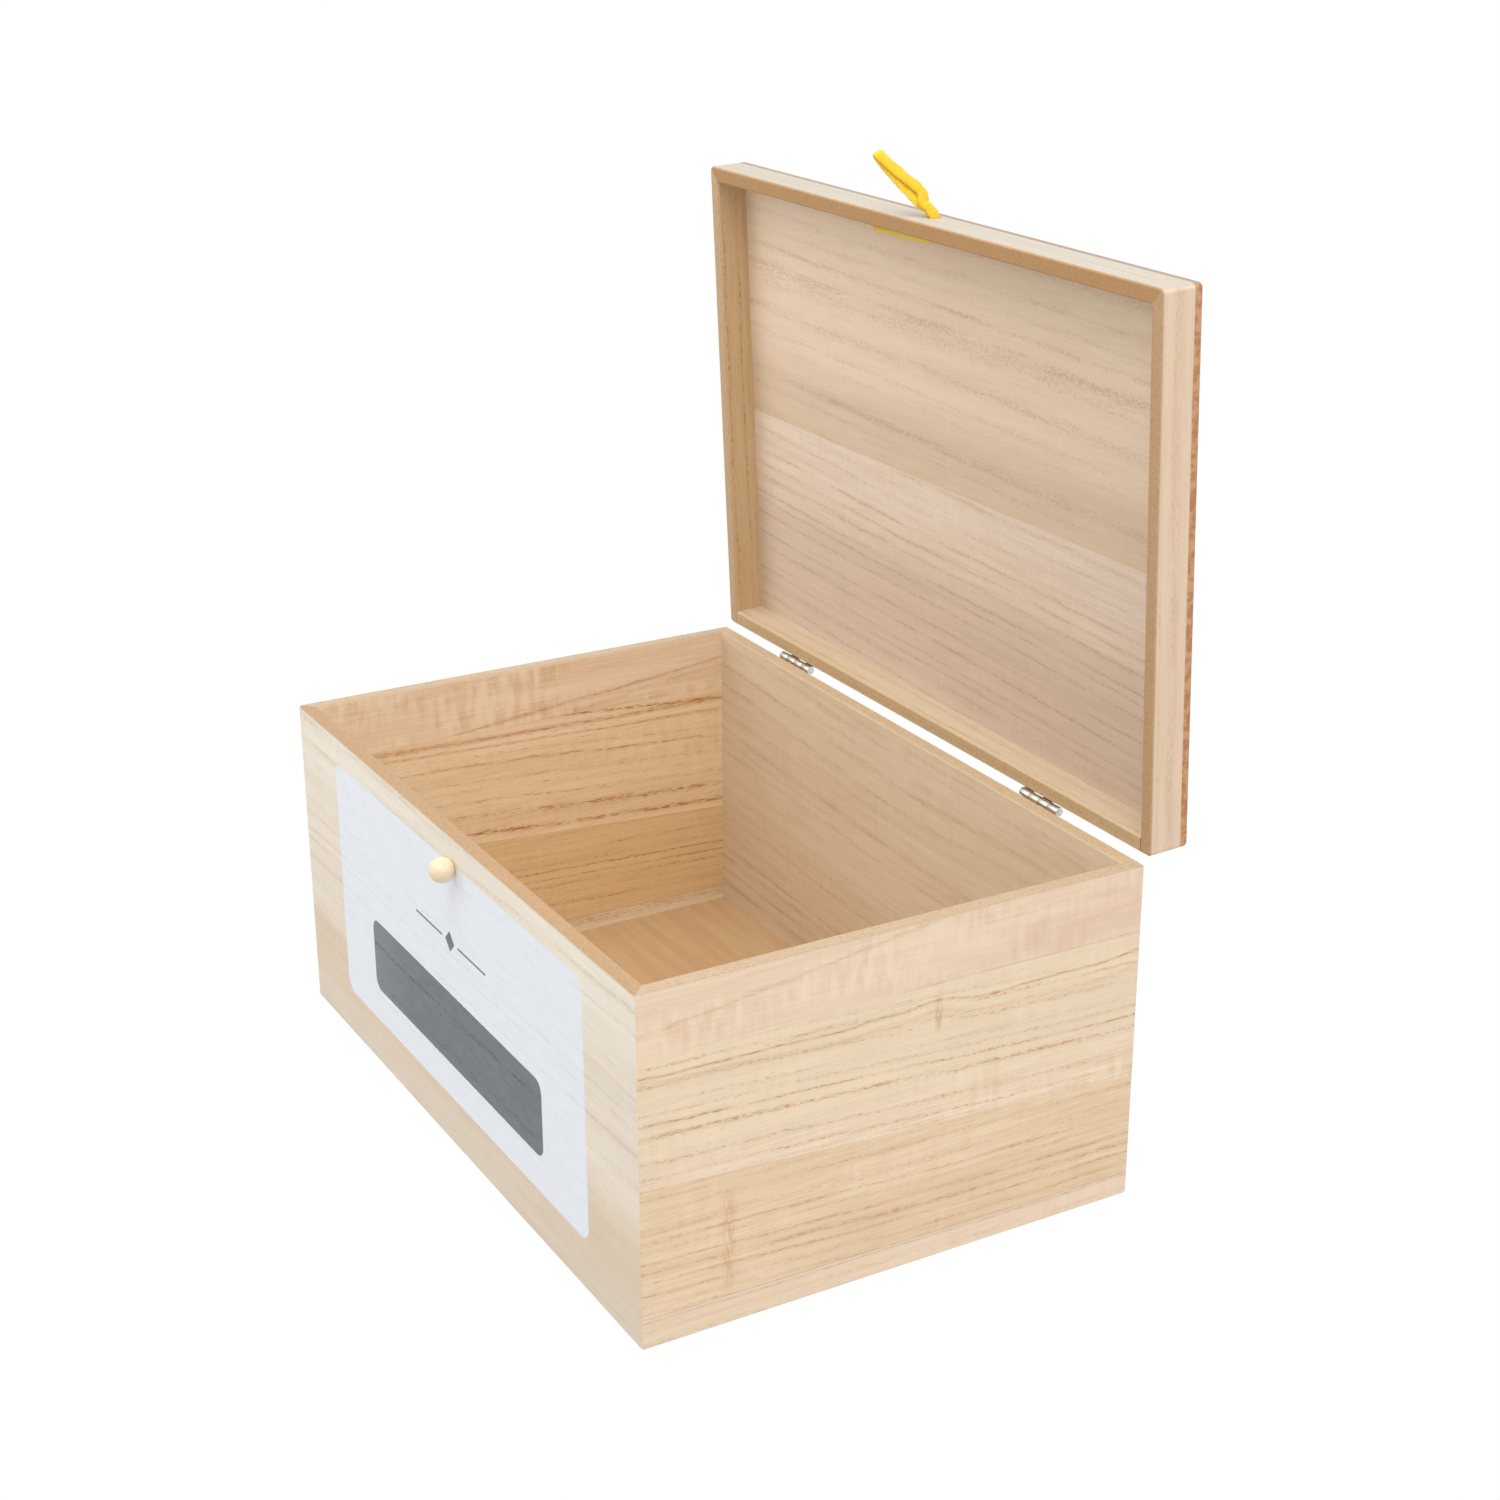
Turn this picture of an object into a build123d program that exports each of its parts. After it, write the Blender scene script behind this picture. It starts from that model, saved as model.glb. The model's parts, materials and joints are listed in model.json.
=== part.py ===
from build123d import *
import math
import os

os.makedirs("parts", exist_ok=True)

# Box body, in millimetres: front towards -Y, base on Z = 0, origin at the middle of the base
box_width = 300.0
box_depth = 200.0
body_height = 132.0
wall_thickness = 6.0
corner_round = 1.2
edge_ease = 0.6
foot_ease = 1.0
glue_gap = 0.05

# Base board, let into a rebate round the foot of the walls
base_thickness = 3.5
rebate_depth = 3.0

# Glue joints of the side panels, as shares of the body's height at the front and at the back
joint_front_shares = (0.09, 0.46, 0.82)
joint_back_shares = (0.07, 0.37, 0.81)
side_board_names = ("foot_strip", "lower_board", "middle_board", "rim_board")

# Lid: four rails under a panel that is glued up from two boards
rail_height = 13.0
rail_thickness = 6.0
lid_panel_thickness = 3.5
lid_corner_round = 2.0
lid_edge_round = 1.3
lid_joint_setback = 4.3
rim_gap = 0.3
open_angle = 87.6

# Butt hinges on the outside of the back
hinge_width = 23.5
hinge_spacing = 177.4
hinge_shift = -3.5
leaf_height = 11.0
leaf_thickness = 0.8
leaf_clearance = 0.4
barrel_radius = 1.7
barrel_gap = 0.3
strap_lap = 0.8
knuckle_count = 4
knuckle_gap = 0.2
pin_radius = 0.8
pin_clearance = 0.05

# Countersunk hinge screws, two to a leaf, with few sides because they are small
screw_spacing = 16.0
screw_height = 7.0
screw_length = 5.0
screw_sides = 8
screw_shank_radius = 1.0
screw_tip_radius = 0.3
screw_point_length = 1.6
screw_point_gap = 0.3
countersink_angle = 90.0
countersink_overrun = 0.3

# Closure: a turned ball knob on the front and a felt loop through the lid's front rail
knob_radius = 4.75
knob_reach = 4.3
knob_side_offset = 6.5
knob_drop = 11.8
knob_spigot_radius = 2.0
knob_spigot_length = 4.0
knob_hole_spare = 0.3

strip_width = 2.8
strip_thickness = 1.2
cord_side_offset = 3.5
cord_hole_height = 9.4
cord_hole_radius = 2.6
cord_strand_spacing = 2.2
tail_length = 51.0
tail_width = 5.4
tail_thickness = 1.5
tail_fold_width = 4.6
tail_fold_depth = 3.0
arc_share = 0.45

# Free part of the felt loop, from the left strand's exit to the right strand's exit: across the
# lid, out from the rail's front face, and towards the rim, all measured from the hole's centre
loop_route = (
    (-1.1, 0.6, 0.0),
    (-2.7, 2.8, 0.2),
    (-5.1, 4.9, 2.9),
    (-8.1, 8.7, 5.3),
    (-11.6, 13.0, 7.8),
    (-15.0, 17.2, 10.3),
    (-17.4, 20.4, 11.6),
    (-18.5, 22.1, 12.2),
    (-17.1, 22.8, 13.0),
    (-15.5, 20.9, 11.8),
    (-12.9, 17.9, 9.5),
    (-9.4, 14.1, 6.4),
    (-5.5, 10.3, 2.7),
    (-3.9, 7.9, 1.8),
    (-3.0, 5.3, 2.7),
    (-0.9, 3.2, 1.0),
    (1.1, 0.6, 0.0),
)

# Worked out from the sizes above
half_width = box_width / 2
half_depth = box_depth / 2
hinge_setback = barrel_radius + barrel_gap
bore_radius = pin_radius + pin_clearance
knuckle_pitch = hinge_width / knuckle_count
countersink_slope = math.tan(math.radians(countersink_angle / 2))
screw_head_radius = screw_shank_radius + leaf_thickness * countersink_slope
pilot_radius = screw_shank_radius + glue_gap
pilot_depth = screw_length + screw_point_gap - leaf_thickness
rebate_width = box_width - 2 * (wall_thickness - rebate_depth)
rebate_length = box_depth - 2 * (wall_thickness - rebate_depth)
lid_centre_y = -hinge_setback - half_depth
lid_front_y = -hinge_setback - box_depth
lid_rim_z = rim_gap / 2
lid_panel_z = lid_rim_z + rail_height
cord_hole_z = lid_rim_z + cord_hole_height

# The body and the lid each have a frame on the hinge pins, the lid's turned back by its open angle
body_frame = Plane((0, half_depth + hinge_setback, body_height + rim_gap / 2))
lid_frame = body_frame.rotated((-open_angle, 0, 0))
lid_up = Axis(lid_frame.origin, lid_frame.z_dir)
lid_back = Axis(lid_frame.origin, lid_frame.y_dir)


def plane_at(frame, place, normal):
    return Plane(frame.from_local_coords(place), x_dir=frame.x_dir, z_dir=normal)


def save(piece, name):
    piece.label = name
    export_step(piece, f"parts/{name}.step")


def mitred_outline(width, depth, thickness):
    return (
        (-width / 2, -depth / 2),
        (width / 2, -depth / 2),
        (width / 2 - thickness, thickness - depth / 2),
        (thickness - width / 2, thickness - depth / 2),
    )


def plan_of(outline, corner):
    with BuildSketch() as plan:
        RectangleRounded(box_width, box_depth, corner)
        with BuildLine():
            Polyline(*outline, close=True)
        make_face(mode=Mode.INTERSECT)
    return plan.sketch


# Walls of the body, mitred at the corners, with eased rims and feet
def body_wall(outline, run):
    with BuildPart() as wall:
        with BuildSketch():
            add(plan_of(outline, corner_round))
        extrude(amount=body_height)
        rim = wall.faces().sort_by(Axis.Z)[-1].edges()
        chamfer(rim.filter_by(run) + rim.filter_by(GeomType.CIRCLE), edge_ease)
        foot = wall.faces().sort_by(Axis.Z)[0].edges()
        outer_foot = foot.filter_by(run).sort_by(SortBy.LENGTH)[-1:]
        chamfer(outer_foot + foot.filter_by(GeomType.CIRCLE), foot_ease)
        with BuildSketch():
            Rectangle(rebate_width, rebate_length)
        extrude(amount=base_thickness, mode=Mode.SUBTRACT)
    return wall.part


front_outline = mitred_outline(box_width, box_depth, wall_thickness)
back_outline = [(x, -y) for x, y in front_outline]
left_outline = [(y, x) for x, y in mitred_outline(box_depth, box_width, wall_thickness)]
right_outline = [(-x, y) for x, y in left_outline]

# Front panel, with the blind hole for the knob
knob_place = (knob_side_offset, -half_depth, body_height - knob_drop)
with BuildPart() as front_panel:
    add(body_wall(front_outline, Axis.X))
    with Locations(Plane(knob_place, x_dir=(1, 0, 0), z_dir=(0, -1, 0))):
        Hole(knob_spigot_radius + glue_gap, depth=knob_spigot_length + knob_hole_spare)
save(front_panel.part, "front_panel")

# Ball knob turned in one with its spigot
with BuildPart() as closure_knob:
    with BuildSketch(Plane(knob_place, x_dir=(1, 0, 0), z_dir=(0, 0, -1))):
        with Locations((0, knob_reach)):
            Circle(knob_radius)
        with Locations((0, (knob_reach - knob_spigot_length) / 2)):
            Rectangle(2 * knob_spigot_radius, knob_reach + knob_spigot_length)
        with Locations((knob_radius, knob_reach)):
            Rectangle(2 * knob_radius, 4 * knob_reach, mode=Mode.INTERSECT)
    revolve(axis=Axis(knob_place, (0, -1, 0)))
save(closure_knob.part, "closure_knob")


# Places of the hinges and of their screws
def hinge_frame(frame, side):
    return plane_at(frame, (side * hinge_spacing / 2 + hinge_shift, 0, 0), frame.z_dir)


def screw_planes(frame, side, reach):
    hinge = hinge_frame(frame, side)
    outer_face = leaf_thickness - hinge_setback
    places = [(x, outer_face, reach * screw_height) for x in (-screw_spacing / 2, screw_spacing / 2)]
    return [plane_at(hinge, place, hinge.y_dir) for place in places]


def hinge_section(hinge):
    return Plane(hinge.origin, x_dir=hinge.y_dir, z_dir=hinge.x_dir)


body_screw_planes = screw_planes(body_frame, -1, -1) + screw_planes(body_frame, 1, -1)
lid_screw_planes = screw_planes(lid_frame, -1, 1) + screw_planes(lid_frame, 1, 1)

# Back panel, with the pilot holes of the hinge screws
with BuildPart() as back_panel:
    add(body_wall(back_outline, Axis.X))
    with Locations(*[plane.offset(-leaf_thickness) for plane in body_screw_planes]):
        Hole(pilot_radius, depth=pilot_depth)
save(back_panel.part, "back_panel")

# Side panels, each glued up from four boards with slightly tapered edges
front_levels = (0, *joint_front_shares, 1)
back_levels = (0, *joint_back_shares, 1)
for side_name, outline in (("left", left_outline), ("right", right_outline)):
    side_wall = body_wall(outline, Axis.Y)
    for index, board_name in enumerate(side_board_names):
        with BuildPart() as side_board:
            add(side_wall)
            with BuildSketch(Plane.YZ):
                with BuildLine():
                    Polyline(
                        (-half_depth, front_levels[index] * body_height),
                        (half_depth, back_levels[index] * body_height),
                        (half_depth, back_levels[index + 1] * body_height),
                        (-half_depth, front_levels[index + 1] * body_height),
                        close=True,
                    )
                make_face()
            extrude(amount=box_width, both=True, mode=Mode.INTERSECT)
        save(side_board.part, f"{side_name}_side_{board_name}")

# Base board, flush with the feet of the walls
with BuildPart() as base_panel:
    with BuildSketch():
        Rectangle(rebate_width - 2 * glue_gap, rebate_length - 2 * glue_gap)
    extrude(amount=base_thickness)
save(base_panel.part, "base_panel")

# Lid rails: mitred at the front, with the back rail let in between the side rails
lid_rim_plane = plane_at(lid_frame, (0, lid_centre_y, lid_rim_z), lid_frame.z_dir)
lid_panel_plane = plane_at(lid_frame, (0, lid_centre_y, lid_panel_z), lid_frame.z_dir)


def lid_rail(outline, run):
    with BuildPart() as rail:
        with BuildSketch(lid_rim_plane):
            add(plan_of(outline, lid_corner_round))
        extrude(amount=rail_height)
        rim = rail.faces().sort_by(lid_up)[0].edges()
        chamfer(rim.filter_by(run) + rim.filter_by(GeomType.CIRCLE), edge_ease)
    return rail.part


front_rail_outline = mitred_outline(box_width, box_depth, rail_thickness)
left_rail_outline = (
    (-half_width, -half_depth),
    (rail_thickness - half_width, rail_thickness - half_depth),
    (rail_thickness - half_width, half_depth),
    (-half_width, half_depth),
)
right_rail_outline = [(-x, y) for x, y in left_rail_outline]
back_rail_outline = (
    (rail_thickness - half_width, half_depth - rail_thickness),
    (half_width - rail_thickness, half_depth - rail_thickness),
    (half_width - rail_thickness, half_depth),
    (rail_thickness - half_width, half_depth),
)

with BuildPart() as lid_front_rail:
    add(lid_rail(front_rail_outline, Axis.X))
    with Locations(plane_at(lid_frame, (cord_side_offset, lid_front_y, cord_hole_z), -lid_frame.y_dir)):
        Hole(cord_hole_radius, depth=rail_thickness)
save(lid_front_rail.part, "lid_front_rail")

# Back rail, with the pilot holes of the hinge screws
with BuildPart() as lid_back_rail:
    add(lid_rail(back_rail_outline, Axis.X))
    with Locations(*[plane.offset(-leaf_thickness) for plane in lid_screw_planes]):
        Hole(pilot_radius, depth=pilot_depth)
save(lid_back_rail.part, "lid_back_rail")

save(lid_rail(left_rail_outline, lid_back), "lid_left_rail")
save(lid_rail(right_rail_outline, lid_back), "lid_right_rail")

# Lid panel, rounded over along its outer edge and glued up from two boards
with BuildPart() as lid_panel:
    with BuildSketch(lid_panel_plane):
        RectangleRounded(box_width, box_depth, lid_corner_round)
    extrude(amount=lid_panel_thickness)
    fillet(lid_panel.faces().sort_by(lid_up)[-1].edges(), lid_edge_round)

lid_boards = (
    ("lid_front_board", -half_depth, lid_joint_setback),
    ("lid_back_board", lid_joint_setback, half_depth),
)
for board_name, front_edge, back_edge in lid_boards:
    with BuildPart() as lid_board:
        add(lid_panel.part)
        with BuildSketch(lid_panel_plane):
            with Locations((0, (front_edge + back_edge) / 2)):
                Rectangle(box_width, back_edge - front_edge)
        extrude(amount=lid_panel_thickness, mode=Mode.INTERSECT)
    save(lid_board.part, board_name)


# Hinge leaf: a flat plate against the wood, cranked out to its own knuckles round the pin
def hinge_leaf(frame, side, reach, own_knuckles):
    hinge = hinge_frame(frame, side)
    across = hinge_section(hinge)
    plate_start = barrel_radius + leaf_clearance
    strap_height = plate_start + strap_lap
    with BuildPart() as leaf:
        with BuildSketch(across):
            with Locations((leaf_thickness / 2 - hinge_setback, reach * (plate_start + leaf_height) / 2)):
                Rectangle(leaf_thickness, leaf_height - plate_start)
        extrude(amount=hinge_width / 2, both=True)
        for index in own_knuckles:
            knuckle_start = index * knuckle_pitch - hinge_width / 2 + knuckle_gap / 2
            with BuildSketch(across.offset(knuckle_start)):
                with Locations((leaf_thickness / 2 - barrel_radius, reach * strap_height / 2)):
                    Rectangle(leaf_thickness, strap_height)
                Circle(barrel_radius)
                Circle(bore_radius, mode=Mode.SUBTRACT)
            extrude(amount=knuckle_pitch - knuckle_gap)
        with Locations(*[plane.offset(countersink_overrun) for plane in screw_planes(frame, side, reach)]):
            Cone(
                pilot_radius - countersink_overrun * countersink_slope,
                screw_head_radius + glue_gap + countersink_overrun * countersink_slope,
                leaf_thickness + 2 * countersink_overrun,
                align=(Align.CENTER, Align.CENTER, Align.MAX),
                mode=Mode.SUBTRACT,
            )
    return leaf.part


# Hinge pin, flush with the ends of the barrel
def hinge_pin(frame, side):
    with BuildPart() as pin:
        with BuildSketch(hinge_section(hinge_frame(frame, side))):
            Circle(pin_radius)
        extrude(amount=hinge_width / 2, both=True)
    return pin.part


even_knuckles = range(0, knuckle_count, 2)
odd_knuckles = range(1, knuckle_count, 2)
hinge_sides = (("left", -1, even_knuckles, odd_knuckles), ("right", 1, odd_knuckles, even_knuckles))
for side_name, side, body_knuckles, lid_knuckles in hinge_sides:
    save(hinge_leaf(body_frame, side, -1, body_knuckles), f"hinge_body_leaf_{side_name}")
    save(hinge_leaf(lid_frame, side, 1, lid_knuckles), f"hinge_lid_leaf_{side_name}")
    save(hinge_pin(body_frame, side), f"hinge_pin_{side_name}")

# One countersunk screw, drawn with its head on the XY plane and its point down, then set in place
screw_sections = (
    (0, screw_head_radius),
    (leaf_thickness, screw_shank_radius),
    (screw_length - screw_point_length, screw_shank_radius),
    (screw_length, screw_tip_radius),
)
with BuildPart() as hinge_screw:
    for depth, radius in screw_sections:
        with BuildSketch(Plane.XY.offset(-depth)):
            RegularPolygon(radius, screw_sides)
    loft(ruled=True)

for name, planes in (("body_hinge_screws", body_screw_planes), ("lid_hinge_screws", lid_screw_planes)):
    with BuildPart() as screw_set:
        with Locations(*planes):
            add(hinge_screw.part)
    save(screw_set.part, name)


# Felt loop: a flat strip, two strands of it out of the hole in the front rail, folded at the tip
def loop_point(across, out, droop):
    place = (cord_side_offset + across, lid_front_y - out, cord_hole_z - droop)
    return lid_frame.from_local_coords(Vector(place))


def bend_radii(points):
    radii = []
    for before, corner, after in zip(points, points[1:], points[2:]):
        run_in = corner - before
        run_out = after - corner
        half_turn = math.radians(run_in.get_angle(run_out) / 2)
        radii.append(arc_share * min(run_in.length, run_out.length) / math.tan(half_turn))
    return radii


strand_offset = cord_strand_spacing / 2
loop_points = [loop_point(-strand_offset, -rail_thickness, 0)]
loop_points += [loop_point(*place) for place in loop_route]
loop_points.append(loop_point(strand_offset, -rail_thickness, 0))
loop_radii = bend_radii(loop_points)

with BuildPart() as closure_loop:
    with BuildLine() as loop_line:
        FilletPolyline(*loop_points, radius=loop_radii)
    loop_start = Plane(loop_points[0], x_dir=lid_frame.z_dir, z_dir=loop_points[1] - loop_points[0])
    with BuildSketch(loop_start) as loop_section:
        Rectangle(strip_width, strip_thickness)
    sweep(path=loop_line.wire())
save(closure_loop.part, "closure_loop")

loop_volume = loop_section.sketch.area * loop_line.wire().length
print("loop bend radii", [round(radius, 1) for radius in loop_radii])
print("loop length", round(loop_line.wire().length, 1))
print("loop volume against section times length", round(closure_loop.part.volume / loop_volume, 4))

# Ends of the felt strip, folded over inside the rail and glued flat along the lid panel
tail_y = lid_front_y + rail_thickness
with BuildPart() as loop_tail:
    with BuildSketch(plane_at(lid_frame, (cord_side_offset, tail_y, lid_panel_z), lid_frame.z_dir)):
        with Locations(((tail_fold_width - tail_length) / 2, tail_width / 2)):
            Rectangle(tail_length, tail_width)
    extrude(amount=-tail_thickness)
    with BuildSketch(plane_at(lid_frame, (cord_side_offset, tail_y, lid_panel_z), lid_frame.z_dir)):
        with Locations((0, tail_fold_depth / 2)):
            Rectangle(tail_fold_width, tail_fold_depth)
    extrude(amount=cord_hole_z - tail_fold_width / 2 - lid_panel_z)
save(loop_tail.part, "loop_tail")
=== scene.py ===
import json
import math

import bmesh
import bpy
from mathutils import Matrix, Vector, noise


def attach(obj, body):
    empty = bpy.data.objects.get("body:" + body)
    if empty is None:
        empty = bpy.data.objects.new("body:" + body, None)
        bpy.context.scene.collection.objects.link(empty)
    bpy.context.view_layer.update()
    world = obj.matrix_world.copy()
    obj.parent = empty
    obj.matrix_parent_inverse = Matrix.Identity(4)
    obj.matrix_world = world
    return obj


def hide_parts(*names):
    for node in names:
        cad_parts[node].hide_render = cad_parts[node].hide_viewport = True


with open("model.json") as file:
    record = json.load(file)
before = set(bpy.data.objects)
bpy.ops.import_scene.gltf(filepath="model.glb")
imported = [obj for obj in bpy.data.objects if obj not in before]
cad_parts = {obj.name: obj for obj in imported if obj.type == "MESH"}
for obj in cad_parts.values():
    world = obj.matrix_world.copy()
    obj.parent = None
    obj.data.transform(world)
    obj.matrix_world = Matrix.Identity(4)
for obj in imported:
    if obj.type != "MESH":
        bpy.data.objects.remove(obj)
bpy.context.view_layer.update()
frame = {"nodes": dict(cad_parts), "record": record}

scene = bpy.context.scene
mm = 0.001
nodes = frame["nodes"]
print("frame loaded:", len(nodes), "nodes")

# The lid's own axes as it stands open: x along the hinges, y towards them, z out of the lid's top
lidJoint = next(j for j in frame["record"]["behaviour"]["joints"] if j["name"] == "lid_hinge")
lidOpen = math.radians(max(lidJoint["range_deg"]))
lidOrigin = Vector(lidJoint["pos_m"])
lidBack = Vector((0, math.cos(lidOpen), -math.sin(lidOpen)))
lidUp = Vector((0, math.sin(lidOpen), math.cos(lidOpen)))
bodyAxes = {"x": Vector((1, 0, 0)), "y": Vector((0, 1, 0)), "z": Vector((0, 0, 1)), "origin": Vector()}
lidAxes = {"x": Vector((1, 0, 0)), "y": lidBack, "z": lidUp, "origin": lidOrigin}


def lidPoint(x, y, z):
    return lidOrigin + mm * (x * lidAxes["x"] + y * lidBack + z * lidUp)


# Turns a screen colour, 0 to 255, into light
def tint(red, green, blue):
    shares = [c / 255 for c in (red, green, blue)]
    return (*[s / 12.92 if s <= 0.04045 else ((s + 0.055) / 1.055) ** 2.4 for s in shares], 1.0)


def darker(color, share):
    return tint(*[c * share for c in color])


# Camera
cameraLook = {
    "place": (0.78552, -0.41771, 0.49389),
    "aim": (-0.02074, 0.03851, 0.12905),
    "roll": -0.21,       # degrees
    "lens": 60.91,       # mm
    "sensor": 36,        # mm
    "nearest": 0.01,     # m
}


def makeCamera(look):
    data = bpy.data.cameras.new("boxCamera")
    data.lens = look["lens"]
    data.sensor_width = look["sensor"]
    data.clip_start = look["nearest"]
    camera = bpy.data.objects.new("boxCamera", data)
    scene.collection.objects.link(camera)
    place = Vector(look["place"])
    turn = (Vector(look["aim"]) - place).to_track_quat("-Z", "Y").to_matrix()
    turn = turn @ Matrix.Rotation(math.radians(look["roll"]), 3, "Z")
    camera.matrix_world = Matrix.Translation(place) @ turn.to_4x4()
    scene.camera = camera


makeCamera(cameraLook)
print("camera set")


# Small helpers for node trees; a socket knows the tree that it is in
def feed(socket, value):
    if isinstance(value, bpy.types.NodeSocket):
        socket.id_data.links.new(value, socket)
    else:
        socket.default_value = value


def addNode(tree, kind, values=(), **settings):
    node = tree.nodes.new(kind)
    for name, value in settings.items():
        setattr(node, name, value)
    for key, value in dict(values).items():
        feed(node.inputs[key], value)
    return node


def treeOf(values):
    return next(value.id_data for value in values if isinstance(value, bpy.types.NodeSocket))


def sums(operation, *values, clamp=False):
    settings = {"operation": operation, "use_clamp": clamp}
    return addNode(treeOf(values), "ShaderNodeMath", enumerate(values), **settings).outputs[0]


def times(first, second, clamp=False):
    return sums("MULTIPLY", first, second, clamp=clamp)


def timesPlus(first, second, third, clamp=False):
    return sums("MULTIPLY_ADD", first, second, third, clamp=clamp)


def vectorSums(operation, *values):
    node = addNode(treeOf(values), "ShaderNodeVectorMath", enumerate(values), operation=operation)
    return node.outputs["Value" if operation in ("DOT_PRODUCT", "LENGTH") else "Vector"]


def fade(value, low, high, start=0.0, end=1.0):
    limits = enumerate((value, low, high, start, end))
    return addNode(value.id_data, "ShaderNodeMapRange", limits, interpolation_type="SMOOTHSTEP").outputs[0]


# One at nought, fading out to either side
def nearness(distance, width):
    return fade(sums("ABSOLUTE", distance), width, 0.0)


def mixColor(share, first, second):
    values = {0: share, 6: first, 7: second}
    return addNode(share.id_data, "ShaderNodeMix", values, data_type="RGBA").outputs[2]


def cloud(place, sizes, detail=2.0, roughness=0.5):
    stretched = vectorSums("MULTIPLY", place, [1 / s for s in sizes])
    return addNode(place.id_data, "ShaderNodeTexNoise", {
        "Vector": stretched, "Scale": 1.0, "Detail": detail, "Roughness": roughness,
    }).outputs[0]


# A cloud cut down to soft spots
def spots(place, size, limits):
    return fade(cloud(place, *size), *limits)


# A cloud that swings to either side of nought
def swing(place, sizes, detail):
    return sums("SUBTRACT", cloud(place, sizes, detail), 0.5)


def split(vector):
    return addNode(vector.id_data, "ShaderNodeSeparateXYZ", {0: vector}).outputs[:]


def join(x, y, z):
    return addNode(treeOf((x, y, z)), "ShaderNodeCombineXYZ", {0: x, 1: y, 2: z}).outputs[0]


# A value such as ringSpacing shows as Ring Spacing on a group
def labelOf(key):
    return "".join(f" {c}" if c.isupper() else c for c in key).title()


def startGroup(name, inputs, outputs, treeKind="ShaderNodeTree"):
    group = bpy.data.node_groups.new(name, treeKind)
    for way, sockets in (("INPUT", inputs), ("OUTPUT", outputs)):
        for label, kind in sockets:
            group.interface.new_socket(name=label, in_out=way, socket_type=f"NodeSocket{kind.title()}")
    given = group.nodes.new("NodeGroupInput").outputs
    made = group.nodes.new("NodeGroupOutput").inputs
    return group, given, made


def placeAnd(*sizes):
    return [("Place", "vector"), *[(size, "float") for size in sizes]]


def placeGroup(tree, group, values):
    return addNode(tree, "ShaderNodeGroup", values, node_tree=group).outputs


# Object coordinates in mm
def objectPlace(tree):
    here = addNode(tree, "ShaderNodeTexCoord").outputs["Object"]
    return vectorSums("MULTIPLY", here, [1 / mm] * 3)


# Object coordinates turned into a board's own: along the grain, across it and through it, in mm
def makeBoardPlace():
    ways = ("Along", "Across", "Through")
    inputs = [(way, "vector") for way in (*ways, "Origin")]
    group, given, made = startGroup("boardPlace", inputs, [("Place", "vector")])
    here = addNode(group, "ShaderNodeTexCoord").outputs["Object"]
    offset = vectorSums("SUBTRACT", here, given["Origin"])
    parts = []
    for way in ways:
        parts.append(times(vectorSums("DOT_PRODUCT", offset, given[way]), 1 / mm))
    feed(made["Place"], join(*parts))
    return group


# Pale, coarse-pored grain: ring lines made of short dashes, fibres, curl and broad tones
grainKeys = (
    "seed", "ringSpacing", "ringSlope", "ringWander", "ringTilt", "bandWidth", "dashLength", "dashWidth",
    "lineStrength", "poreAmount", "curl",
)
grainLook = {
    "seedStep": (371.0, 153.0, 217.0),     # mm from one seed's wood to the next
    # clouds: sizes along, across and through the board in mm, then detail and roughness
    "slow": ((260, 110, 110), 1.0),
    "ripple": ((16, 7, 7), 2.0),
    "uneven": ((2.3, 1, 1), 1.0),          # in rings
    "faint": ((30, 4, 4), 2.0),
    "fibre": ((24, 0.8, 0.8), 3.0, 0.6),
    "broad": ((110, 8, 8), 2.0),
    "flame": ((3.2, 14, 14), 1.5),
    "flameWhere": ((45, 20, 60), 1.0),
    "rippleHeight": 1.7,                   # mm
    "unevenRings": 2.6,
    "leastBold": 0.35,
    "faintFade": (0.34, 0.6, 0.45, 1.0),
    "flameFade": (0.35, 0.6),
    # a pore shows where its dash rises over a bar, which is lower in the ring lines
    "bar": 0.68, "barInLine": -0.22, "barByAmount": -0.06, "barSoft": 0.07,
    "depthBetween": 0.3, "lineBase": 0.1,
    # shares of the deep colour
    "toneShare": 0.35, "broadShare": (1.2, -0.28), "flameShare": 2.6, "fibreShare": 1.7,
    "fibreHeight": 0.4,
}


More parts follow.
